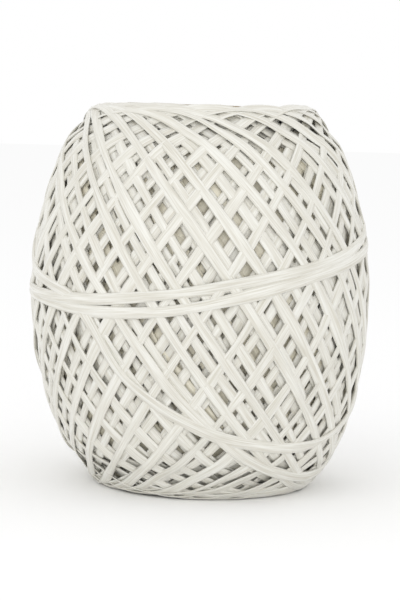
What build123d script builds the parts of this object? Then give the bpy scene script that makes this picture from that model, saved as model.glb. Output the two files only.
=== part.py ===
"""A machine-wound ball of flat twine on a card tube, standing on one of its two ends.

The twine is one strand. It is modelled as the stretches that it is wound in, from the tube
outwards: the inner winding, the outer winding, a finishing turn that has slipped down the front,
the turns round the waist, and the tail tucked under them.

Millimetres, +Z up along the tube, origin at the middle of the tube's lower end, which is level
with the ring that the ball stands on.
The front of the ball faces -Y, and a bearing is measured from the front towards +X.
"""
from build123d import *
import math
import os

# Ball
ball_diameter = 76.5  # at mid height
ball_height = 84.5  # from one end ring to the other
ring_diameter = 47.0  # outer edge of the flat ring at each end
mouth_diameter = 41.0  # inner edge of that ring, where the end dips towards the tube
shoulder_diameter = 64.5  # where the long curve of the side turns over into the shoulder
shoulder_inset = 10.8  # height of that turn, from the nearer end
dip_depth = 7.0  # from the end ring down to where the winding meets the tube

# Card tube, cut square and level with both end rings
tube_bore = 20.0
tube_wall = 1.6

# Inner winding, laid steeply along the tube
inner_diameter = 55.0  # at mid height
inner_end_diameter = 33.0  # where its side meets the dip

# Strand
strand_width = 2.2
strand_thickness = 0.85

# Slipped turn, which leaves the waist at the front left and comes back to it at the back right
slipped_slope = 1.107  # rise of its plane for each millimetre across
slipped_bearing = 39.0  # of its lowest point
slipped_rise = 4.7  # where its plane crosses the axis, above mid height

# Turns round the waist
waist_turns = 2
waist_slope = 0.276
waist_bearing = -40.0
waist_rise = 10.1

# Tail, tucked under the waist turns at the back
tail_length = 17.0
tail_bearing = -150.0
tail_slope = 2.2

tube_diameter = tube_bore + 2 * tube_wall
mid_height = ball_height / 2


def dip_height(radius: float) -> float:
    """Height of the upper end's dip at a radius between the tube and the mouth."""
    share = (mouth_diameter / 2 - radius) / (mouth_diameter / 2 - tube_diameter / 2)
    return ball_height - dip_depth * share


def level(height: float) -> float:
    """The same height measured from the other end."""
    return ball_height - height


def tilted_plane(slope: float, bearing: float, rise: float) -> Plane:
    """Plane of a turn whose lowest point lies at the bearing."""
    angle = math.radians(bearing)
    normal = (slope * math.sin(angle), -slope * math.cos(angle), 1)
    return Plane(origin=(0, 0, mid_height + rise), z_dir=normal)


shoulder_top = level(shoulder_inset)
side_points = (
    (shoulder_diameter / 2, shoulder_inset),
    (ball_diameter / 2, mid_height),
    (shoulder_diameter / 2, shoulder_top),
)
inner_top = dip_height(inner_end_diameter / 2)
inner_points = (
    (inner_end_diameter / 2, level(inner_top)),
    (inner_diameter / 2, mid_height),
    (inner_end_diameter / 2, inner_top),
)
tube_contact = dip_height(tube_diameter / 2)

# Card tube ------------------------------------------------------------------------------------
with BuildPart() as core_tube:
    with BuildSketch(Plane.XY):
        Circle(tube_diameter / 2)
        Circle(tube_bore / 2, mode=Mode.SUBTRACT)
    extrude(amount=ball_height)
core_tube.part.label = "core_tube"

# Inner winding --------------------------------------------------------------------------------
with BuildPart() as inner_winding:
    with BuildSketch(Plane.XZ):
        with BuildLine():
            ThreePointArc(*inner_points)
            Polyline(
                inner_points[-1],
                (tube_diameter / 2, tube_contact),
                (tube_diameter / 2, level(tube_contact)),
                inner_points[0],
            )
        make_face()
    revolve(axis=Axis.Z)
inner_winding.part.label = "inner_winding"


def ball_side(grow: float) -> tuple[Vector, Vector]:
    """Draw the side of the ball, pushed out by a thickness, and give its upper and lower ends."""
    reach = Vector(grow, 0)
    side = ThreePointArc(*[Vector(*point) + reach for point in side_points])
    upper = TangentArc(side @ 1, Vector(ring_diameter / 2, ball_height) + reach, tangent=side % 1)
    lower = TangentArc(side @ 0, Vector(ring_diameter / 2, 0) + reach, tangent=-(side % 0))
    return upper @ 1, lower @ 1


# Outer winding --------------------------------------------------------------------------------
with BuildPart() as outer_winding:
    with BuildSketch(Plane.XZ):
        with BuildLine():
            upper_ring, lower_ring = ball_side(0)
            Polyline(upper_ring, (mouth_diameter / 2, ball_height), inner_points[-1])
            Polyline(lower_ring, (mouth_diameter / 2, 0), inner_points[0])
            ThreePointArc(*inner_points)
        make_face()
    revolve(axis=Axis.Z)
outer_winding.part.label = "outer_winding"


def plain_ball(grow: float) -> Part:
    """The ball with neither dips nor bore, its side pushed out by a thickness."""
    with BuildPart(mode=Mode.PRIVATE) as ball:
        with BuildSketch(Plane.XZ):
            with BuildLine():
                upper_ring, lower_ring = ball_side(grow)
                Polyline(upper_ring, (0, ball_height), (0, 0), lower_ring)
            make_face()
        revolve(axis=Axis.Z)
    return ball.part


bare_ball = plain_ball(0)

waist_plane = tilted_plane(waist_slope, waist_bearing, waist_rise)

# Slipped turn ---------------------------------------------------------------------------------
with BuildPart() as slipped_turn:
    add(plain_ball(strand_thickness))
    with BuildSketch(tilted_plane(slipped_slope, slipped_bearing, slipped_rise)):
        Circle(ball_height)
    extrude(amount=strand_width / 2, both=True, mode=Mode.INTERSECT)
    add(bare_ball, mode=Mode.SUBTRACT)
    split(bisect_by=waist_plane, keep=Keep.BOTTOM)
slipped_turn.part.label = "slipped_turn"

# Tail -----------------------------------------------------------------------------------------
tail_angle = math.radians(tail_bearing)
tail_way = Vector(math.sin(tail_angle), -math.cos(tail_angle), 0)
waist_dip = waist_slope * ball_diameter / 2 * math.cos(math.radians(tail_bearing - waist_bearing))
tail_middle = tail_way * ball_diameter / 2 + Vector(0, 0, mid_height + waist_rise - waist_dip)
tail_run = (Vector(0, 0, tail_slope) + tail_way.cross(Vector(0, 0, 1))).normalized()
with BuildPart() as twine_tail:
    add(plain_ball(strand_thickness))
    with BuildSketch(Plane(origin=tail_middle, x_dir=tail_run, z_dir=tail_way)):
        Rectangle(tail_length, strand_width)
    extrude(amount=ball_diameter / 4, both=True, mode=Mode.INTERSECT)
    add(bare_ball, mode=Mode.SUBTRACT)
twine_tail.part.label = "twine_tail"

# Waist turns ----------------------------------------------------------------------------------
with BuildPart() as waist_wraps:
    add(plain_ball(2 * strand_thickness))
    with BuildSketch(waist_plane):
        Circle(ball_height)
    extrude(amount=waist_turns * strand_width / 2, both=True, mode=Mode.INTERSECT)
    add(bare_ball, mode=Mode.SUBTRACT)
    add(slipped_turn.part, mode=Mode.SUBTRACT)
    add(twine_tail.part, mode=Mode.SUBTRACT)
waist_wraps.part.label = "waist_wraps"

os.makedirs("parts", exist_ok=True)
export_step(core_tube.part, "parts/core_tube.step")
export_step(inner_winding.part, "parts/inner_winding.step")
export_step(outer_winding.part, "parts/outer_winding.step")
export_step(slipped_turn.part, "parts/slipped_turn.step")
export_step(waist_wraps.part, "parts/waist_wraps.step")
export_step(twine_tail.part, "parts/twine_tail.step")
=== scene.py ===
"""A machine-wound ball of flat polypropylene twine on a card tube, standing on one end.

The ball is one strand. A winding arm lays it in tilted loops that turn a little further round
the tube each time. Every loop is laid here on the loops before it, from the tube outwards, on a
map of how high the winding stands in each direction from the ball's middle. The finishing turns
are laid by hand over them. Sizes inside the classes are millimetres, and meshes are metres.
"""
import logging
import math
from dataclasses import dataclass, field
from enum import Enum

import bmesh
import bpy
import numpy as np
from mathutils import Matrix, Vector


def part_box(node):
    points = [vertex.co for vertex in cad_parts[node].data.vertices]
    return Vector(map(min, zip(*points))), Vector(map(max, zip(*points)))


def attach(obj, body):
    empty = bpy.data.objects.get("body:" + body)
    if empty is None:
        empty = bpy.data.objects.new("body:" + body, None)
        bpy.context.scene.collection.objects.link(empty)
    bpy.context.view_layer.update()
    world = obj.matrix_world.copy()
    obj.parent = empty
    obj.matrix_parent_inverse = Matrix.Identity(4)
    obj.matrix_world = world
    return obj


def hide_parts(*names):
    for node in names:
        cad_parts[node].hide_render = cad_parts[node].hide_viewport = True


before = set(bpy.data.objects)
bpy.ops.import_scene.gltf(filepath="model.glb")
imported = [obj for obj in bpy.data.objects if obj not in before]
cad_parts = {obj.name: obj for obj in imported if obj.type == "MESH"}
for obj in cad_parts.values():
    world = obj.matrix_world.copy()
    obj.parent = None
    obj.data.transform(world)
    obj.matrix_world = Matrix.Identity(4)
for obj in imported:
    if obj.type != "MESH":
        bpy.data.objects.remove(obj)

MM = 0.001
TURN = 2 * math.pi
SEED = 11
AIM_DROP = 1.35  # millimetres below the ball's middle that the camera points

log = logging.getLogger("twine_ball")
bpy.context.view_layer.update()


# Shared helpers -------------------------------------------------------------------------------


def linear(hex_colour: str) -> tuple[float, float, float, float]:
    """Turn an sRGB hex colour into linear RGBA.

    Args:
        hex_colour: six hex digits, such as "f2f0ea".

    Returns:
        Linear red, green, blue and an alpha of 1.
    """
    parts = [int(hex_colour[i:i + 2], 16) / 255 for i in (0, 2, 4)]
    values = [c / 12.92 if c <= 0.04045 else ((c + 0.055) / 1.055) ** 2.4 for c in parts]
    return (values[0], values[1], values[2], 1.0)


def add_node(
    tree: bpy.types.NodeTree, kind: str, links: dict | None = None, **settings: object,
) -> bpy.types.Node:
    """Add one node with its settings and links.

    Args:
        tree: the material's node tree.
        kind: the node's type, such as "ShaderNodeMix".
        links: input name or number to the output socket that feeds it.
        settings: node attributes, or input values under "inputs" as a dict.

    Returns:
        The new node.
    """
    node = tree.nodes.new(kind)
    for name, value in settings.pop("inputs", {}).items():
        node.inputs[name].default_value = value
    for name, value in settings.items():
        setattr(node, name, value)
    for name, socket in (links or {}).items():
        tree.links.new(socket, node.inputs[name])
    return node


def eased(share: np.ndarray) -> np.ndarray:
    """Turn shares from 0 to 1 into ones that start and end gently."""
    return share * share * (3 - 2 * share)


def running_mean(values: np.ndarray, reach: int) -> np.ndarray:
    """Mean of each value and its neighbours up to a reach on both sides."""
    window = np.ones(2 * reach + 1) / (2 * reach + 1)
    return np.convolve(np.pad(values, reach, mode="edge"), window, mode="valid")


def run_length(line: np.ndarray) -> np.ndarray:
    """Distance along a line of points, from its first point to each."""
    return np.concatenate(([0], np.cumsum(np.linalg.norm(np.diff(line, axis=0), axis=1))))


def smooth_wander(count: int, period: float, rng: np.random.Generator) -> np.ndarray:
    """Slow random change along a row of samples, about one unit high.

    Args:
        count: number of samples.
        period: samples between one independent value and the next.
        rng: seeded random source.

    Returns:
        One value for each sample.
    """
    knots = rng.normal(size=int(count / period) + 3)
    place = np.arange(count) / period
    low = place.astype(int)
    part = eased(place - low)
    return knots[low] * (1 - part) + knots[low + 1] * part


# The ball's form ------------------------------------------------------------------------------


@dataclass
class BallForm:
    """Outline of the finished ball and of its tube, as distances from the ball's middle."""

    radius: float
    half_height: float
    middle: float
    tube_radius: float
    ring_radius: float = 23.5
    mouth_radius: float = 20.5
    shoulder_radius: float = 32.25
    shoulder_inset: float = 10.8
    dip_depth: float = 7.0
    steps: int = 48
    latitude: np.ndarray = field(init=False)
    reach: np.ndarray = field(init=False)
    outline: np.ndarray = field(init=False)

    def __post_init__(self) -> None:
        """Work out the outline from mid height to the tube."""
        height = self.half_height - self.shoulder_inset
        drop = self.radius - self.shoulder_radius
        bend = (height ** 2 + drop ** 2) / (2 * drop)
        angle = np.linspace(0, math.asin(height / bend), self.steps)
        side = np.column_stack((self.radius - bend + bend * np.cos(angle), bend * np.sin(angle)))
        leaving = np.array([-math.sin(angle[-1]), math.cos(angle[-1])])
        shoulder = self.tangent_arc(side[-1], leaving, np.array([self.ring_radius, self.half_height]))
        mouth = [[self.mouth_radius, self.half_height]]
        foot = [[self.tube_radius, self.half_height - self.dip_depth]]
        self.outline = np.vstack((side, shoulder[1:]))
        whole = np.vstack((self.outline, mouth, foot))
        self.latitude = np.arctan2(whole[:, 1], whole[:, 0])
        self.reach = np.hypot(whole[:, 0], whole[:, 1])

    def tangent_arc(self, start: np.ndarray, leaving: np.ndarray, end: np.ndarray) -> np.ndarray:
        """Points on the arc that leaves a point in one direction and ends at another point.

        Args:
            start: first point.
            leaving: unit direction at the first point.
            end: last point.

        Returns:
            The arc's points, both ends included.
        """
        across = np.array([-leaving[1], leaving[0]])
        chord = end - start
        bend = chord @ chord / (2 * (chord @ across))
        centre = start + across * bend
        first, last = (math.atan2(*(point - centre)[::-1]) for point in (start, end))
        angle = np.linspace(first, last, self.steps)
        return centre + abs(bend) * np.column_stack((np.cos(angle), np.sin(angle)))

    def surface(self, latitude: np.ndarray) -> np.ndarray:
        """Distance from the ball's middle to its outside, at each latitude."""
        return np.interp(np.abs(latitude), self.latitude, self.reach)

    def tube(self, latitude: np.ndarray) -> np.ndarray:
        """Distance from the ball's middle to the tube, at each latitude."""
        return self.tube_radius / np.cos(latitude)

    def latitude_at(self, height: np.ndarray) -> np.ndarray:
        """Latitude of the ball's side at each height from its middle."""
        radius = np.interp(np.abs(height), self.outline[:, 1], self.outline[:, 0])
        return np.arctan2(height, radius)

    def normals(self, ways: np.ndarray) -> np.ndarray:
        """Outward direction of the ball's surface where each way from the middle meets it."""
        step = 0.035
        latitude = np.arcsin(np.clip(ways[:, 2], -1, 1))
        flat = np.hypot(ways[:, 0], ways[:, 1])
        away = ways[:, :2] / flat[:, None]
        near, far = latitude - step, latitude + step
        low = self.surface(near)[:, None] * np.column_stack((np.cos(near), np.sin(near)))
        high = self.surface(far)[:, None] * np.column_stack((np.cos(far), np.sin(far)))
        run = high - low
        out = np.column_stack((run[:, 1:2] * away, -run[:, 0]))
        return out / np.linalg.norm(out, axis=1)[:, None]


def way(bearing: np.ndarray, latitude: np.ndarray) -> np.ndarray:
    """Unit directions from the ball's middle.

    Args:
        bearing: angle from the front, which faces -Y, towards +X.
        latitude: angle above mid height.

    Returns:
        One direction in each row.
    """
    flat = np.cos(latitude)
    return np.column_stack((flat * np.sin(bearing), -flat * np.cos(bearing), np.sin(latitude)))


# Laying the strand ----------------------------------------------------------------------------


@dataclass
class Route:
    """A stretch of strand as laid: directions from the middle and the height that it lies at."""

    ways: np.ndarray
    level: np.ndarray


@dataclass
class LayMap:
    """How many strand thicknesses the winding stands, in each direction from its middle."""

    form: BallForm
    width: float
    bearings: int = 1000
    latitudes: int = 440
    widest: float = math.radians(76)
    press: float = 0.8  # thickness that a crossing adds, once the strands are pressed together
    crown: float = 0.3  # how much lower a strand is at its edges than along its middle
    felt: float = 0.85  # share of the half width that rests on what is below
    feelers: int = 7
    row_reach: int = 6
    finer: int = 5  # steps written along the strand for each sample
    strips: int = 11  # lines written across its width
    level: np.ndarray = field(init=False)
    rows: np.ndarray = field(init=False)

    def __post_init__(self) -> None:
        """Start with the bare tube."""
        self.level = np.zeros((self.latitudes, self.bearings))
        self.rows = np.linspace(-self.widest, self.widest, self.latitudes)

    def cells(self, ways: np.ndarray) -> tuple[np.ndarray, np.ndarray]:
        """Rows and columns of the map that directions fall in."""
        unit = ways / np.linalg.norm(ways, axis=1)[:, None]
        latitude = np.arcsin(np.clip(unit[:, 2], -1, 1))
        bearing = np.arctan2(unit[:, 0], -unit[:, 1]) % TURN
        row = np.round((latitude + self.widest) / (2 * self.widest) * (self.latitudes - 1)).astype(int)
        column = np.round(bearing / TURN * self.bearings).astype(int) % self.bearings
        return np.clip(row, 0, self.latitudes - 1), column

    def usual(self) -> np.ndarray:
        """Mean height of each row, evened out over its neighbours."""
        return running_mean(self.level.mean(axis=1), self.row_reach)

    def across(self, ways: np.ndarray) -> np.ndarray:
        """Unit directions along the surface, square to a route."""
        along = np.gradient(ways, axis=0)
        side = np.cross(ways, along)
        return side / np.linalg.norm(side, axis=1)[:, None]

    def under(self, ways: np.ndarray, side: np.ndarray, half: np.ndarray) -> tuple[np.ndarray, np.ndarray]:
        """Feel the winding under a strand's width.

        Args:
            ways: directions of the strand's samples.
            side: directions across the strand.
            half: half of its width, as an angle from the middle.

        Returns:
            Highest and mean height at each sample.
        """
        parts = np.linspace(-self.felt, self.felt, self.feelers)
        found = [self.level[self.cells(ways + side * (half * part)[:, None])] for part in parts]
        return np.max(found, axis=0), np.mean(found, axis=0)

    def raise_by(
        self, ways: np.ndarray, side: np.ndarray, half: np.ndarray, level: np.ndarray, thick: np.ndarray,
    ) -> None:
        """Add a laid strand to the map.

        Args:
            ways: directions of the strand's samples.
            side: directions across the strand.
            half: half of its width, as an angle from the middle.
            level: height of its underside.
            thick: its thickness.
        """
        count = len(ways)
        place = np.linspace(0, count - 1, count * self.finer)
        low = np.minimum(place.astype(int), count - 2)
        part = place - low
        blend = [a[low] * (1 - part[:, None]) + a[low + 1] * part[:, None] for a in (ways, side)]
        flat = [a[low] * (1 - part) + a[low + 1] * part for a in (half, level, thick)]
        for strip in np.linspace(-1, 1, self.strips):
            cells = self.cells(blend[0] + blend[1] * (flat[0] * strip)[:, None])
            np.maximum.at(self.level, cells, flat[1] + flat[2] * (1 - self.crown * strip * strip))


@dataclass
class Layer:
    """Lays stretches of strand on the map, each one over what is there already."""

    chart: LayMap
    spread: int = 5  # samples that a strand stays up on each side of a bump
    ease: float = 1.4  # samples over which it eases down again
    lead: int = 12  # samples looked at before and after a chunk
    held_back: int = 4  # samples written to the map with the next chunk
    nestles_from: float = 33.0  # degrees of latitude
    nestles_over: float = 20.0
    most_nestled: float = 0.6  # share of the way from the highest strand below to the mean
    thinner_nestled: float = 0.45

    def drape(self, support: np.ndarray, taut: float) -> np.ndarray:
        """Stretch a strand over the bumps under it.

        Args:
            support: height of what is under each sample.
            taut: tension against the machine's; a tauter strand bridges wider gaps.

        Returns:
            Height of the strand at each sample.
        """
        lifted = support.copy()
        for step in range(1, round(self.spread * taut) + 1):
            lifted[step:] = np.maximum(lifted[step:], support[:-step])
            lifted[:-step] = np.maximum(lifted[:-step], support[step:])
        reach = int(3 * self.ease * taut)
        window = np.exp(-0.5 * (np.arange(-reach, reach + 1) / (self.ease * taut)) ** 2)
        return np.convolve(np.pad(lifted, reach, mode="edge"), window / window.sum(), mode="valid")

    def nestle(self, ways: np.ndarray) -> np.ndarray:
        """How far strands settle between each other, from none at mid height to most at the rims."""
        latitude = np.degrees(np.abs(np.arcsin(np.clip(ways[:, 2], -1, 1))))
        share = np.clip((latitude - self.nestles_from) / self.nestles_over, 0, 1)
        return self.most_nestled * eased(share)

    def lay(
        self, ways: np.ndarray, reach: np.ndarray, chunk: int, width: float = 1.0, taut: float = 1.0,
    ) -> Route:
        """Lay one route, a chunk at a time.

        Args:
            ways: directions of the route's samples.
            reach: rough distance of each sample from the middle, in millimetres.
            chunk: samples laid at a time, about one loop.
            width: strand width against the usual width.
            taut: tension against the machine's.

        Returns:
            The route with its height at each sample.
        """
        chart = self.chart
        side = chart.across(ways)
        half = chart.width * width / 2 / reach
        close = self.nestle(ways)
        thick = chart.press * (1 - self.thinner_nestled * close)
        latitude = np.arcsin(np.clip(ways[:, 2], -1, 1))
        support = np.zeros(len(ways))
        level = np.zeros(len(ways))
        written = 0
        for start in range(0, len(ways), chunk):
            stop = min(start + chunk, len(ways))
            ahead = min(stop + self.lead, len(ways))
            behind = max(start - self.lead, 0)
            usual = np.interp(latitude[behind:ahead], chart.rows, chart.usual())
            top, mean = chart.under(ways[start:ahead], side[start:ahead], half[start:ahead])
            support[start:ahead] = top + (mean - top) * close[start:ahead]
            draped = self.drape(support[behind:ahead] - usual, taut) + usual
            level[start:stop] = draped[start - behind:stop - behind]
            until = stop - self.held_back if stop < len(ways) else stop
            span = slice(written, until)
            chart.raise_by(ways[span], side[span], half[span], level[span], thick[span])
            written = until
        return Route(ways, level + thick / 2)


@dataclass
class MachineWinding:
    """The loops that the winding arm lays, from the bare tube to the last machine turn."""

    form: BallForm
    cycles: int = 24  # times that the loops go round the tube
    loops_a_cycle: float = 24.55  # not whole, so each cycle falls in the gaps of the last
    first_tilt: float = math.radians(71)
    last_tilt: float = math.radians(60)
    tilt_pace: float = 0.7
    leaving_tilt: float = math.radians(54)  # of the last loop, which leads into the hand turns
    last_bearing: float = math.radians(150.5)
    bearing_slack: float = math.radians(1.5)
    tilt_slack: float = math.radians(0.4)
    tilt_sweep: float = math.radians(1.2)
    sweep_loops: float = 17.3
    side_drift: float = math.radians(3.5)  # how far loops are dragged round by the arm
    rim_drift: float = math.radians(3.0)
    step: float = 1.4
    rim_stretch: float = 1.12

    def loops(self) -> int:
        """Number of whole loops."""
        return round(self.cycles * self.loops_a_cycle)

    def samples(self, loop: int) -> int:
        """Samples that one loop is laid with."""
        grown = loop / self.loops()
        radius = self.form.tube_radius + (self.form.radius - self.form.tube_radius) * grown
        return int(TURN * radius * self.rim_stretch / self.step)

    def route(self, rng: np.random.Generator) -> tuple[np.ndarray, np.ndarray, np.ndarray]:
        """Lead the winding arm from the first loop to the last.

        Args:
            rng: seeded random source.

        Returns:
            Direction, rough reach and loop number of every sample.
        """
        total = self.loops()
        counts = [self.samples(loop) for loop in range(total)]
        turns = np.concatenate([loop + np.arange(count) / count for loop, count in enumerate(counts)])
        slack = self.bearing_slack * self.by_loop(turns, rng.normal(size=total + 2))
        tilt_slack = self.tilt_slack * self.by_loop(turns, rng.normal(size=total + 2))
        tilt_slack += self.tilt_sweep * np.sin(TURN * turns / self.sweep_loops)
        grown = turns / total
        tilt = self.first_tilt + (self.last_tilt - self.first_tilt) * grown ** self.tilt_pace + tilt_slack
        leaving = np.clip(turns - total + 1, 0, 1)
        tilt += (self.leaving_tilt - tilt) * eased(leaving)
        node = self.last_bearing + TURN / self.loops_a_cycle * (total - turns) + slack * (1 - leaving)
        angle = TURN * (turns + 0.5)
        latitude = np.arcsin(np.sin(angle) * np.sin(tilt))
        drift = np.sin(2 * angle) * (self.side_drift + self.rim_drift * np.sin(angle) ** 2) * grown
        bearing = node + np.arctan2(np.cos(tilt) * np.sin(angle), np.cos(angle)) + drift
        ways = way(bearing, latitude)
        reach = self.form.tube(latitude) * (1 - grown) + self.form.surface(latitude) * grown
        return ways, reach, turns

    def by_loop(self, turns: np.ndarray, values: np.ndarray) -> np.ndarray:
        """Values given for each loop, eased from one loop to the next."""
        low = turns.astype(int)
        part = eased(turns - low)
        return values[low] * (1 - part) + values[low + 1] * part


Waypoints = tuple[tuple[float, float], ...]


@dataclass
class HandTurns:
    """The finishing turns, as bearings in degrees and heights from the ball's middle."""

    form: BallForm
    step: float = 1.2
    finer: int = 40
    crossing: Waypoints = (
        (-29.5, 0), (-18, -10), (-4.5, -21), (17, -32), (42, -37.5), (68, -38.5), (92, -35), (118, -22),
        (143, 0), (166, 20), (190, 34), (215, 38.5), (238, 35), (256, 23), (270, 12.5), (283, 6.2),
        (300, 3.6), (313, 1.2), (322, -3.8), (333, -14.1), (343, -19.7), (354, -23.8), (367, -27.3),
        (382, -29.3), (397, -30.4), (411, -30.0), (426, -27.6), (443, -23.2), (460, -16.5), (476, -8.0),
        (490, 1.5), (503, 10), (516, 16.2), (532, 18.6), (556, 16.0),
    )
    waist: Waypoints = (
        (556, 16.0), (580, 11.9), (610, 5.6), (635, 1.0), (660, -0.6), (682, -1.4), (703, -0.8), (720, 0.9),
        (751, 5.7), (776, 9.1), (800, 12.0), (850, 17.2), (880, 19.6), (905, 17.6), (940, 12.2),
        (970, 6.4), (995, 1.6), (1020, 0.8), (1043, 1.2), (1063, 2.6), (1080, 4.2), (1111, 7.9),
        (1136, 11.2), (1162, 15.6), (1200, 20.4), (1230, 19.0), (1246, 17.6),
    )
    tail: Waypoints = (
        (1246, 17.6), (1258, 18.6), (1268, 20.6), (1276.5, 22.4), (1284, 20.6), (1288, 16.4), (1291, 10),
        (1294.5, 3.5), (1300, -2.5),
    )

    def ways(self, points: Waypoints) -> np.ndarray:
        """Lead the strand smoothly through its points.

        Args:
            points: bearing in degrees and height of each point.

        Returns:
            Directions from the ball's middle at even steps.
        """
        bearing = np.radians([p[0] for p in points])
        height = np.array([p[1] for p in points], float)
        knots = np.arange(len(points), dtype=float)
        place = np.linspace(0, len(points) - 1, self.finer * len(points))
        fine = np.column_stack([self.through(knots, values, place) for values in (bearing, height)])
        latitude = self.form.latitude_at(fine[:, 1])
        line = way(fine[:, 0], latitude) * self.form.surface(latitude)[:, None]
        run = run_length(line)
        even = np.linspace(0, run[-1], int(run[-1] / self.step))
        spot = np.column_stack([np.interp(even, run, line[:, axis]) for axis in range(3)])
        return spot / np.linalg.norm(spot, axis=1)[:, None]

    def through(self, knots: np.ndarray, values: np.ndarray, place: np.ndarray) -> np.ndarray:
        """Join values with a smooth line, whose slope at each knot comes from its neighbours.

        Args:
            knots: where the values are given.
            values: value at each knot.
            place: where values are wanted.

        Returns:
            Value at each place.
        """
        slope = np.gradient(values, knots)
        low = np.minimum(place.astype(int), len(knots) - 2)
        part = place - low
        square, cube = part ** 2, part ** 3
        start = (2 * cube - 3 * square + 1) * values[low] + (cube - 2 * square + part) * slope[low]
        end = (3 * square - 2 * cube) * values[low + 1] + (cube - square) * slope[low + 1]
        return start + end


# Finishes -------------------------------------------------------------------------------------


@dataclass(frozen=True)
class FibrillatedTwine:
    """Polypropylene film, slit, split into fibres along its length and lightly twisted.

    The eye sees a milky white strand with fine glossy streaks along it. The streaks are the twine's own tone,
    and the greyer colour laid where the bump sinks into the creases is painted shade.
    """

    name: str = "fibrillated_polypropylene"
    light: str = "e7e6df"
    # colour of the low creases between the streaks: painted shade over the streaks' own darker tone
    shade: str = "cdc9bc"
    fibre_width: float = 0.16
    bundle_width: float = 0.55
    streak_length: float = 9.0
    roughness: float = 0.42
    ior: float = 1.49
    sheen: float = 0.25

    def material(self) -> bpy.types.Material:
        """Make the material.

        Returns:
            A material that reads the strand's own map, in millimetres.
        """
        made = bpy.data.materials.new(self.name)
        made.use_nodes = True
        tree = made.node_tree
        tree.nodes.clear()
        place = add_node(tree, "ShaderNodeUVMap", uv_map="strand_mm")
        fine = self.streaks(tree, place, self.fibre_width, self.streak_length)
        broad = self.streaks(tree, place, self.bundle_width, 2.2 * self.streak_length)
        both = add_node(
            tree, "ShaderNodeMath", {0: fine.outputs["Fac"], 1: broad.outputs["Fac"]}, operation="ADD",
        )
        # one mask both sinks the bump and darkens the colour, so the creases carry painted shade as well as
        # the fibres' own streaks
        fibre = add_node(
            tree, "ShaderNodeMapRange", {"Value": both.outputs[0]},
            inputs={"From Min": 0.75, "From Max": 1.2},
        )
        colour = add_node(
            tree, "ShaderNodeMix", {"Factor": fibre.outputs["Result"]}, data_type="RGBA",
            inputs={6: linear(self.shade), 7: linear(self.light)},
        )
        height = add_node(
            tree, "ShaderNodeBump", {"Height": fibre.outputs["Result"]},
            inputs={"Strength": 0.35, "Distance": 0.12 * MM},
        )
        shader = add_node(
            tree, "ShaderNodeBsdfPrincipled",
            {"Base Color": colour.outputs[2], "Normal": height.outputs["Normal"]},
            inputs={"Roughness": self.roughness, "IOR": self.ior, "Sheen Weight": self.sheen},
        )
        add_node(tree, "ShaderNodeOutputMaterial", {"Surface": shader.outputs["BSDF"]})
        return made

    def streaks(
        self, tree: bpy.types.NodeTree, place: bpy.types.Node, width: float, length: float,
    ) -> bpy.types.Node:
        """Add a noise that is narrow across the strand and long along it.

        Args:
            tree: the material's nodes.
            place: the node that gives the strand's map.
            width: streak width in millimetres.
            length: streak length in millimetres.

        Returns:
            The noise node.
        """
        stretched = add_node(
            tree, "ShaderNodeMapping", {"Vector": place.outputs["UV"]},
            inputs={"Scale": (1 / width, 1 / length, 1)},
        )
        return add_node(
            tree, "ShaderNodeTexNoise", {"Vector": stretched.outputs["Vector"]},
            inputs={"Scale": 1.0, "Detail": 2.0, "Roughness": 0.6},
        )


# The same twine in warmer colours for the loops down in the gaps: painted light, standing in for light that
# comes through the milky strands above and looks warmer.
PAINTED_GAP_LIGHT_TWINE = FibrillatedTwine(name="fibrillated_polypropylene_painted_gap_light", light="e8e3d2", shade="d3cdb9")


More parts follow.
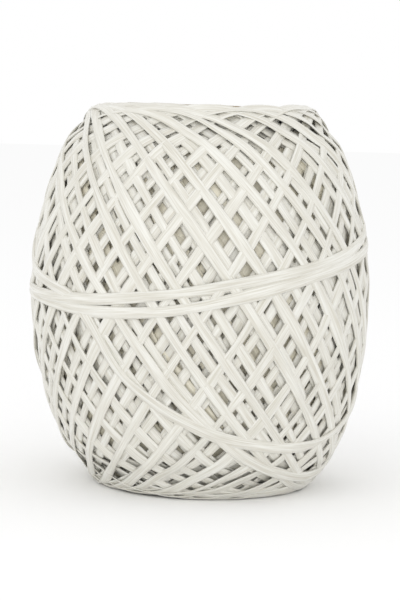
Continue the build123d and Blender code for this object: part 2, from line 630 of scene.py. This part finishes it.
@dataclass(frozen=True)
class SpiralBoard:
    """Grey-brown board, wound and glued in a spiral.

    The eye sees matt brown paper with short fibres and one fine dark seam that climbs the tube; the seam's
    colour fading from its sharp edge across its width is painted shadow of the overlapping ply.
    """

    name: str = "spiral_wound_board"
    light: str = "b9a482"
    dark: str = "94805f"
    # colour of the seam: the joint's own dark line and the painted shadow of the overlapping ply's edge
    seam_and_shadow: str = "6f5d43"
    fibre: float = 0.7
    seam_pitch: float = 46.0
    seam_width: float = 0.5
    roughness: float = 0.88

    def material(self) -> bpy.types.Material:
        """Make the material, which reads Object coordinates."""
        made = bpy.data.materials.new(self.name)
        made.use_nodes = True
        tree = made.node_tree
        tree.nodes.clear()
        place = add_node(tree, "ShaderNodeTexCoord")
        fibres = add_node(
            tree, "ShaderNodeTexNoise", {"Vector": place.outputs["Object"]},
            inputs={"Scale": 1 / (self.fibre * MM), "Detail": 4.0, "Roughness": 0.65},
        )
        colour = add_node(
            tree, "ShaderNodeMix", {"Factor": fibres.outputs["Fac"]}, data_type="RGBA",
            inputs={6: linear(self.dark), 7: linear(self.light)},
        )
        height = add_node(
            tree, "ShaderNodeBump", {"Height": fibres.outputs["Fac"]},
            inputs={"Strength": 0.4, "Distance": 0.1 * MM},
        )
        # mix in the seam: its dark line, and a painted shadow fading from the sharp edge
        seamed = add_node(
            tree, "ShaderNodeMix", {"Factor": self.seam_and_shadow_line(tree, place), 6: colour.outputs[2]},
            data_type="RGBA", inputs={7: linear(self.seam_and_shadow)},
        )
        shader = add_node(
            tree, "ShaderNodeBsdfPrincipled",
            {"Base Color": seamed.outputs[2], "Normal": height.outputs["Normal"]},
            inputs={"Roughness": self.roughness},
        )
        add_node(tree, "ShaderNodeOutputMaterial", {"Surface": shader.outputs["BSDF"]})
        return made

    def seam_and_shadow_line(self, tree: bpy.types.NodeTree, place: bpy.types.Node) -> bpy.types.NodeSocket:
        """Add the spiral edge of the outer ply: the joint's own dark line, with a painted shadow that fades
        from its sharp edge across its width.

        Args:
            tree: the material's nodes.
            place: the node that gives Object coordinates.

        Returns:
            A socket that is highest on the seam's sharp edge and falls to 0 across its width.
        """
        turn = add_node(
            tree, "ShaderNodeTexGradient", {"Vector": place.outputs["Object"]}, gradient_type="RADIAL",
        )
        axes = add_node(tree, "ShaderNodeSeparateXYZ", {"Vector": place.outputs["Object"]})
        climb = add_node(
            tree, "ShaderNodeMath", {0: axes.outputs["Z"], 2: turn.outputs["Fac"]},
            operation="MULTIPLY_ADD", inputs={1: -1 / (self.seam_pitch * MM)},
        )
        past = add_node(tree, "ShaderNodeMath", {0: climb.outputs[0]}, operation="FRACT")
        edge = add_node(
            tree, "ShaderNodeMapRange", {"Value": past.outputs[0]},
            inputs={"From Max": self.seam_width / self.seam_pitch, "To Min": 0.8, "To Max": 0.0},
        )
        return edge.outputs["Result"]


@dataclass(frozen=True)
class StudioPaper:
    """Matt white background paper: an even pale surface with no gloss."""

    name: str = "studio_paper"
    colour: str = "fbfbfb"

    def material(self) -> bpy.types.Material:
        """Make the material."""
        made = bpy.data.materials.new(self.name)
        made.use_nodes = True
        shader = made.node_tree.nodes["Principled BSDF"]
        shader.inputs["Base Color"].default_value = linear(self.colour)
        shader.inputs["Roughness"].default_value = 1.0
        shader.inputs["Specular IOR Level"].default_value = 0.0
        return made


# Building the strand --------------------------------------------------------------------------


class Detail(Enum):
    """How finely a stretch of strand is made: sides of its section."""

    BURIED = 8
    SHOWN = 12


@dataclass
class Strand:
    """Turns laid routes into pieces of flat strand."""

    form: BallForm
    width: float
    thickness: float
    finish: bpy.types.Material
    seed: int = SEED
    flattened: float = 0.03  # lowest height, where the ball stands on its strands
    roll: float = math.radians(9)
    roll_length: float = 14.0
    width_change: float = 0.14
    width_length: float = 11.0
    thickness_change: float = 0.12
    thickness_length: float = 9.0
    bunched_from: float = 38.0  # degrees of latitude, where strands start to pack flatter
    bunched_over: float = 20.0
    bunched_thinner: float = 0.4
    squareness: tuple[float, float] = (0.85, 0.75)
    broad_ridge: tuple[float, float] = (0.17, 6.5)  # height against the half thickness, and waves
    fine_ridge: tuple[float, float] = (0.1, 11.0)
    ridge_shift: float = TURN * 0.16
    ridge_length: float = 8.0
    girth: float = 4.2  # round the section, against the half width
    bake_edge: float = 0.01  # left free at both ends of the bake's rows
    bake_fill: float = 0.88  # share of a row's height that the strand takes

    def follow(self, name: str, points: np.ndarray) -> np.ndarray:
        """Points along the smooth line that a route's points control.

        Args:
            name: name for the line while it is worked out.
            points: the route's points, in metres.

        Returns:
            Points read from the line's NURBS spline, in metres.
        """
        curve = bpy.data.curves.new(name, "CURVE")
        curve.dimensions = "3D"
        curve.resolution_u = 1
        spline = curve.splines.new("NURBS")
        spline.points.add(len(points) - 1)
        spline.points.foreach_set("co", np.column_stack((points, np.ones(len(points)))).ravel())
        spline.order_u = 3
        spline.use_endpoint_u = True
        spline.resolution_u = 1
        line = bpy.data.objects.new(name, curve)
        bpy.context.scene.collection.objects.link(line)
        bpy.context.view_layer.update()
        mesh = bpy.data.meshes.new_from_object(line.evaluated_get(bpy.context.evaluated_depsgraph_get()))
        found = np.empty(3 * len(mesh.vertices))
        mesh.vertices.foreach_get("co", found)
        bpy.data.objects.remove(line)
        bpy.data.curves.remove(curve)
        bpy.data.meshes.remove(mesh)
        return found.reshape(-1, 3)

    def build(
        self, name: str, points: np.ndarray, detail: Detail, wide: float = 1.0, thick: float = 1.0,
    ) -> tuple[bpy.types.Object, np.ndarray]:
        """Make one stretch of strand.

        Args:
            name: the piece's name.
            points: route points from the ball's middle, in millimetres.
            detail: how finely to make it.
            wide: width against the usual width.
            thick: thickness against the usual thickness.

        Returns:
            The piece and the centreline that it follows, in metres.
        """
        lifted = (points + np.array([0, 0, self.form.middle])) * MM
        line = self.follow(name, lifted)
        mesh = self.tube_mesh(name, line, detail.value, wide, thick)
        mesh.materials.append(self.finish)
        piece = bpy.data.objects.new(name, mesh)
        bpy.context.scene.collection.objects.link(piece)
        return piece, line

    def tube_mesh(self, name: str, line: np.ndarray, sides: int, wide: float, thick: float) -> bpy.types.Mesh:
        """Skin a centreline with the strand's flat, ridged section.

        Args:
            name: the mesh's name.
            line: the centreline's points, in metres.
            sides: points round the section.
            wide: width against the usual width.
            thick: thickness against the usual thickness.

        Returns:
            The closed tube.
        """
        rng = np.random.default_rng([self.seed, len(line), sides])
        count = len(line)
        run = run_length(line) / MM
        step = run[-1] / count
        middle = np.array([0, 0, self.form.middle * MM])
        ways = (line - middle) / np.linalg.norm(line - middle, axis=1)[:, None]
        roll = self.roll * smooth_wander(count, self.roll_length / step, rng)
        flat, out = self.section_axes(line, ways, roll)
        width_change = self.width_change * smooth_wander(count, self.width_length / step, rng)
        half_width = self.width / 2 * wide * (1 + width_change)
        latitude = np.degrees(np.abs(np.arcsin(np.clip(ways[:, 2], -1, 1))))
        bunched = np.clip((latitude - self.bunched_from) / self.bunched_over, 0, 1)
        thickness_change = self.thickness_change * smooth_wander(count, self.thickness_length / step, rng)
        thin = 1 - self.bunched_thinner * bunched
        half_thick = self.thickness / 2 * thick * thin * (1 + thickness_change)
        first, second = (
            self.ridge_shift * smooth_wander(count, self.ridge_length / step, rng) for _ in range(2)
        )
        rings = np.empty((count, sides, 3))
        for spot, angle in enumerate(TURN * np.arange(sides) / sides):
            x, y = (
                math.copysign(abs(part) ** power, part)
                for part, power in zip((math.cos(angle), math.sin(angle)), self.squareness)
            )
            broad, fine = (
                height * np.sin(waves * x + shift)
                for (height, waves), shift in ((self.broad_ridge, first), (self.fine_ridge, second))
            )
            across = flat * (half_width * x * MM)[:, None]
            up = out * (half_thick * (y + abs(y) * (broad + fine)) * MM)[:, None]
            rings[:, spot] = line + across + up
        away = np.linalg.norm(rings[..., :2], axis=2, keepdims=True) / MM
        rings[..., :2] *= np.maximum(1, self.form.tube_radius / away)
        rings[..., 2] = np.maximum(rings[..., 2], self.flattened * MM)
        return self.skin(name, rings, run, half_width.mean())

    def section_axes(
        self, line: np.ndarray, ways: np.ndarray, roll: np.ndarray,
    ) -> tuple[np.ndarray, np.ndarray]:
        """Directions across the flat of the strand and out of it, at each point.

        Args:
            line: the centreline's points.
            ways: each point's direction from the ball's middle.
            roll: angle that the strand is rolled by at each point.

        Returns:
            Unit directions along the width and along the thickness.
        """
        along = np.gradient(line, axis=0)
        along /= np.linalg.norm(along, axis=1)[:, None]
        side = np.cross(along, self.form.normals(ways))
        side /= np.linalg.norm(side, axis=1)[:, None]
        out = np.cross(side, along)
        cosine, sine = np.cos(roll)[:, None], np.sin(roll)[:, None]
        return side * cosine + out * sine, out * cosine - side * sine

    def skin(self, name: str, rings: np.ndarray, run: np.ndarray, half_width: float) -> bpy.types.Mesh:
        """Join rings of points into a closed tube and map it in millimetres.

        Args:
            name: the mesh's name.
            rings: points of each ring in turn, in metres.
            run: distance of each ring along the strand, in millimetres.
            half_width: half of the strand's mean width, in millimetres.

        Returns:
            The tube.
        """
        count, sides = rings.shape[:2]
        ring, spot = np.meshgrid(np.arange(count - 1), np.arange(sides), indexing="ij")
        beside = (spot + 1) % sides
        here, ahead = ring * sides, (ring + 1) * sides
        quads = np.stack((here + spot, ahead + spot, ahead + beside, here + beside), axis=-1).reshape(-1, 4)
        start = list(range(sides))
        end = list(range(count * sides - 1, (count - 1) * sides - 1, -1))
        mesh = bpy.data.meshes.new(name)
        mesh.from_pydata(rings.reshape(-1, 3), [], quads.tolist() + [start, end])
        girth = self.girth * half_width
        across = np.stack((spot, spot, spot + 1, spot + 1), axis=-1).reshape(-1, 4) / sides * girth
        down = np.stack((run[ring], run[ring + 1], run[ring + 1], run[ring]), axis=-1).reshape(-1, 4)
        cap = np.zeros((2 * sides, 2))
        flat = np.concatenate((np.stack((across, down), axis=-1).reshape(-1, 2), cap))
        mesh.uv_layers.new(name="strand_mm").data.foreach_set("uv", flat.ravel())
        rows = self.bake_rows(ring, spot, run, girth, sides)
        mesh.uv_layers.new(name="OFBake").data.foreach_set("uv", rows.ravel())
        mesh.shade_smooth()
        mesh.update()
        return mesh

    def bake_rows(
        self, ring: np.ndarray, spot: np.ndarray, run: np.ndarray, girth: float, sides: int,
    ) -> np.ndarray:
        """Lay the tube's faces side by side in rows that fill a square, for baking.

        Args:
            ring: number of the ring that each face starts at.
            spot: place round the section that each face starts at.
            run: distance of each ring along the strand, in millimetres.
            girth: distance round the section, in millimetres.
            sides: points round the section.

        Returns:
            Place of each corner of the faces, and then of the two ends.
        """
        rows = max(1, round(math.sqrt(run[-1] / girth)))
        pitch = run[-1] / rows
        row = np.minimum((run[ring] + run[ring + 1]) / 2 // pitch, rows - 1)
        margin = np.diff(run).max() / 2 / pitch + self.bake_edge
        down = np.stack((run[ring], run[ring + 1], run[ring + 1], run[ring]), axis=-1) / pitch
        down -= row[..., None]
        share = self.bake_fill * (np.stack((spot, spot, spot + 1, spot + 1), axis=-1) / sides - 0.5) + 0.5
        faces = np.stack((margin + (1 - 2 * margin) * down, (row[..., None] + share) / rows), axis=-1)
        angle = TURN * np.arange(sides) / sides
        disc = np.column_stack((np.cos(angle), np.sin(angle))) * self.bake_edge / 3
        first = disc + np.array([self.bake_edge / 2, 0.5 / rows])
        last = disc + np.array([1 - self.bake_edge / 2, 1 - 0.5 / rows])
        return np.concatenate((faces.reshape(-1, 2), first, last[::-1]))


@dataclass
class TwineBall:
    """The whole winding, from the first loop on the tube to the tucked tail."""

    form: BallForm
    width: float = 2.2
    thickness: float = 0.64
    inner_radius: float = 27.5
    cycles_shown: int = 5  # made with all their samples and sides
    # from this many cycles down, loops take the warmer copy of the twine, which paints light in the gaps
    gap_light_from: int = 3  # cycles down from the outside
    machine_width: float = 1.04
    hand_width: float = 1.12
    hand_thickness: float = 1.4
    hand_room: float = 1.1  # width that they take on the map
    hand_taut: float = 2.0
    pressed_wider: float = 0.2  # wider by this for each cycle further down, up to most_wider
    most_wider: float = 0.6
    pressed_thicker: float = 0.2  # thicker by this, so that the turns below close up
    most_thicker: float = 0.6
    outside_share: tuple[float, float] = (88, 94)  # percentile at the side and at the rims
    rims_from: float = 40.0  # degrees of latitude
    rims_over: float = 12.0
    row_reach: int = 10
    least_level: float = 4.0
    least_room: float = 0.5
    looser_inside: float = 0.62  # power that opens out the layers next to the tube
    press_from: float = 0.97  # share of the way out past which bumps are pressed in
    press_share: float = 0.4
    lift: float = 0.012  # how far the rims stand above the form
    lift_from: float = 54.0  # degrees of latitude
    lift_over: float = 6.0
    lean: float = 1.6  # sideways shift of the foot towards +X

    def make(self, twine: bpy.types.Material, painted_gap_light_twine: bpy.types.Material) -> None:
        """Lay, build, dress and declare every stretch.

        Args:
            twine: finish of the loops that show.
            painted_gap_light_twine: finish of the loops far enough down to show only through the gaps, in
                warmer colours that paint the light coming through the strands above.
        """
        rng = np.random.default_rng(SEED)
        chart = LayMap(self.form, self.width)
        layer = Layer(chart)
        machine = MachineWinding(self.form)
        ways, reach, turns = machine.route(rng)
        wound = layer.lay(ways, reach, machine.samples(machine.loops()))
        log.info("winding: %d machine loops", machine.loops())
        hand = HandTurns(self.form)
        stretches = {}
        for label, points in (("crossing", hand.crossing), ("tail", hand.tail), ("waist", hand.waist)):
            laid = hand.ways(points)
            distance = self.form.surface(np.arcsin(laid[:, 2]))
            stretches[label] = layer.lay(laid, distance, len(laid), self.hand_room, self.hand_taut)
        outside = self.outside(chart)
        strand = Strand(self.form, self.width, self.thickness, twine)
        # second strand maker with the twine's warmer copy: painted light coming through into the gaps
        gap_light_strand = Strand(self.form, self.width, self.thickness, painted_gap_light_twine)
        self.build_machine(strand, gap_light_strand, wound, turns, outside, machine)
        for label, node, far_end in (
            ("crossing", "slipped_turn", "object"),
            ("waist", "waist_wraps", "object"),
            ("tail", "twine_tail", "bare"),
        ):
            points = self.place(stretches[label], outside)
            piece, line = strand.build(
                f"{label}_twine", points, Detail.SHOWN, self.hand_width, self.hand_thickness,
            )
            self.declare(piece, node)

    def outside(self, chart: LayMap) -> tuple[np.ndarray, np.ndarray]:
        """Find how high the finished winding stands, the same above and below mid height.

        Args:
            chart: the map with every strand laid.

        Returns:
            Latitudes, and the height that counts as the ball's outside at each.
        """
        usual, highest = (np.percentile(chart.level, part, axis=1) for part in self.outside_share)
        close = np.clip((np.abs(np.degrees(chart.rows)) - self.rims_from) / self.rims_over, 0, 1)
        top = usual + (highest - usual) * close
        even = running_mean((top + top[::-1]) / 2, self.row_reach)
        return chart.rows, np.maximum(even, self.least_level)

    def place(self, route: Route, outside: tuple[np.ndarray, np.ndarray]) -> np.ndarray:
        """Turn a laid route's heights into points.

        Args:
            route: the route.
            outside: latitudes, and the height that counts as the outside at each.

        Returns:
            Points from the ball's middle, in millimetres.
        """
        latitude = np.arcsin(np.clip(route.ways[:, 2], -1, 1))
        full = np.interp(latitude, *outside)
        tube, surface = self.form.tube(latitude), self.form.surface(latitude)
        share = np.maximum(route.level / full, 0) ** self.looser_inside
        pressed = self.press_from + (share - self.press_from) * self.press_share
        share = np.where(share > self.press_from, pressed, share)
        steepness = (np.abs(np.degrees(latitude)) - self.lift_from) / self.lift_over
        share *= 1 + self.lift * np.clip(steepness, 0, 1)
        points = route.ways * (tube + np.maximum(surface - tube, self.least_room) * share)[:, None]
        low = np.clip(-points[:, 2] / self.form.half_height, 0, 1)
        points[:, 0] += self.lean * share * low ** 2
        return points

    def build_machine(
        self, strand: Strand, gap_light_strand: Strand, wound: Route, turns: np.ndarray,
        outside: tuple[np.ndarray, np.ndarray], machine: MachineWinding,
    ) -> None:
        """Build the machine loops, one piece for each cycle, in which they go once round the tube.

        Args:
            strand: maker of the cycles that show.
            gap_light_strand: maker of the cycles that show only through the gaps, whose warmer colours paint
                the light coming through the strands above.
            wound: the machine's whole route.
            turns: loop number of each of its samples.
            outside: latitudes, and the height that counts as the outside at each.
            machine: the winding's settings.
        """
        points = self.place(wound, outside)
        ends = np.searchsorted(turns, machine.loops() / machine.cycles * np.arange(machine.cycles + 1))
        ends[-1] = len(points) - 1
        share = (self.inner_radius - self.form.tube_radius) / (self.form.radius - self.form.tube_radius)
        inner = round(machine.cycles * share)
        for cycle in range(machine.cycles):
            shown = cycle >= machine.cycles - self.cycles_shown
            span = points[ends[cycle]:ends[cycle + 1] + 1]
            if not shown:
                span = np.vstack((span[:-1:2], span[-1:]))
            label = "inner" if cycle < inner else "outer"
            number = cycle + 1 if cycle < inner else cycle + 1 - inner
            detail = Detail.SHOWN if shown else Detail.BURIED
            depth = machine.cycles - 1 - cycle
            wide = self.machine_width + min(max(depth - 1, 0) * self.pressed_wider, self.most_wider)
            thick = 1 + min(depth * self.pressed_thicker, self.most_thicker)
            # deep loops take the warmer copy of the twine: painted light in the gaps
            laid = gap_light_strand if depth >= self.gap_light_from else strand
            piece, line = laid.build(f"{label}_twine_{number}", span, detail, wide, thick)
            self.declare(piece, f"{label}_winding")

    def declare(self, piece: bpy.types.Object, node: str) -> None:
        """Tell the frame what a stretch is.

        Args:
            piece: the stretch.
            node: the CAD node that it replaces.
        """
        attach(piece, "root")
        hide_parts(node)


@dataclass
class CoreTube:
    """The card tube in the middle, as the CAD has it."""

    node: str = "core_tube"

    def dress(self, board: bpy.types.Material) -> None:
        """Give the tube its board."""
        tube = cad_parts[self.node]
        tube.data.materials.clear()
        tube.data.materials.append(board)
        log.info("%s: dressed in %s", self.node, board.name)


# Studio ---------------------------------------------------------------------------------------


@dataclass
class Studio:
    """Floor, light and camera, with sizes in metres."""

    target: Vector
    distance: float = 0.441
    elevation: float = math.radians(5.5)
    roll: float = math.radians(1.4)
    picture_height: float = 0.135
    floor_half: float = 4.0
    floor_drop: float = 0.00005

    def floor(self) -> None:
        """Lay a wide pale floor."""
        shape = bmesh.new()
        bmesh.ops.create_grid(shape, x_segments=1, y_segments=1, size=self.floor_half)
        bmesh.ops.translate(shape, verts=shape.verts, vec=(0, 0, -self.floor_drop))
        mesh = bpy.data.meshes.new("floor")
        shape.to_mesh(mesh)
        shape.free()
        mesh.materials.append(StudioPaper().material())
        floor = bpy.data.objects.new("floor", mesh)
        bpy.context.scene.collection.objects.link(floor)

    def light(self) -> None:
        """Soft even light from all round, with a large key above the left shoulder."""
        world = bpy.data.worlds.new("studio")
        world.use_nodes = True
        world.node_tree.nodes["Background"].inputs["Color"].default_value = (1, 1, 1, 1)
        world.node_tree.nodes["Background"].inputs["Strength"].default_value = 1.0
        bpy.context.scene.world = world
        for name, place, size, power in (
            ("key", (-0.35, -0.55, 0.65), 0.5, 0.6),
            ("front", (0.05, -0.8, 0.02), 0.7, 1.7),
        ):
            lamp = bpy.data.lights.new(name, "AREA")
            lamp.size = size
            lamp.energy = power
            piece = bpy.data.objects.new(name, lamp)
            piece.location = place
            piece.rotation_euler = (self.target - Vector(place)).to_track_quat("-Z", "Y").to_euler()
            bpy.context.scene.collection.objects.link(piece)

    def camera(self) -> None:
        """Stand the camera in front, a little above the middle of the ball."""
        lens = bpy.data.cameras.new("camera")
        lens.sensor_fit = "VERTICAL"
        lens.sensor_height = 24.0
        lens.lens = lens.sensor_height * self.distance / self.picture_height
        lens.clip_start = 0.01
        camera = bpy.data.objects.new("camera", lens)
        away = Vector((0, -math.cos(self.elevation), math.sin(self.elevation)))
        turn = (-away).to_track_quat("-Z", "Y").to_matrix().to_4x4()
        stand = Matrix.Translation(self.target + away * self.distance)
        camera.matrix_world = stand @ turn @ Matrix.Rotation(self.roll, 4, "Z")
        bpy.context.scene.collection.objects.link(camera)
        bpy.context.scene.camera = camera

    def make(self) -> None:
        """Set up everything that isn't the object."""
        self.camera()
        self.floor()
        self.light()
        bpy.context.scene.view_settings.view_transform = "Standard"


def main() -> None:
    """Build the ball from its frame."""
    logging.basicConfig(level=logging.INFO, format="%(name)s: %(message)s")
    low, high = (Vector(corner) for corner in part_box("outer_winding"))
    tube_low, tube_high = (Vector(corner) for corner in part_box("core_tube"))
    form = BallForm(
        radius=(high.x - low.x) / 2 / MM,
        half_height=(high.z - low.z) / 2 / MM,
        middle=(high.z + low.z) / 2 / MM,
        tube_radius=(tube_high.x - tube_low.x) / 2 / MM,
    )
    Studio(target=Vector((0, 0, (form.middle - AIM_DROP) * MM))).make()
    TwineBall(form).make(FibrillatedTwine().material(), PAINTED_GAP_LIGHT_TWINE.material())
    CoreTube().dress(SpiralBoard().material())


if __name__ == "__main__":
    main()
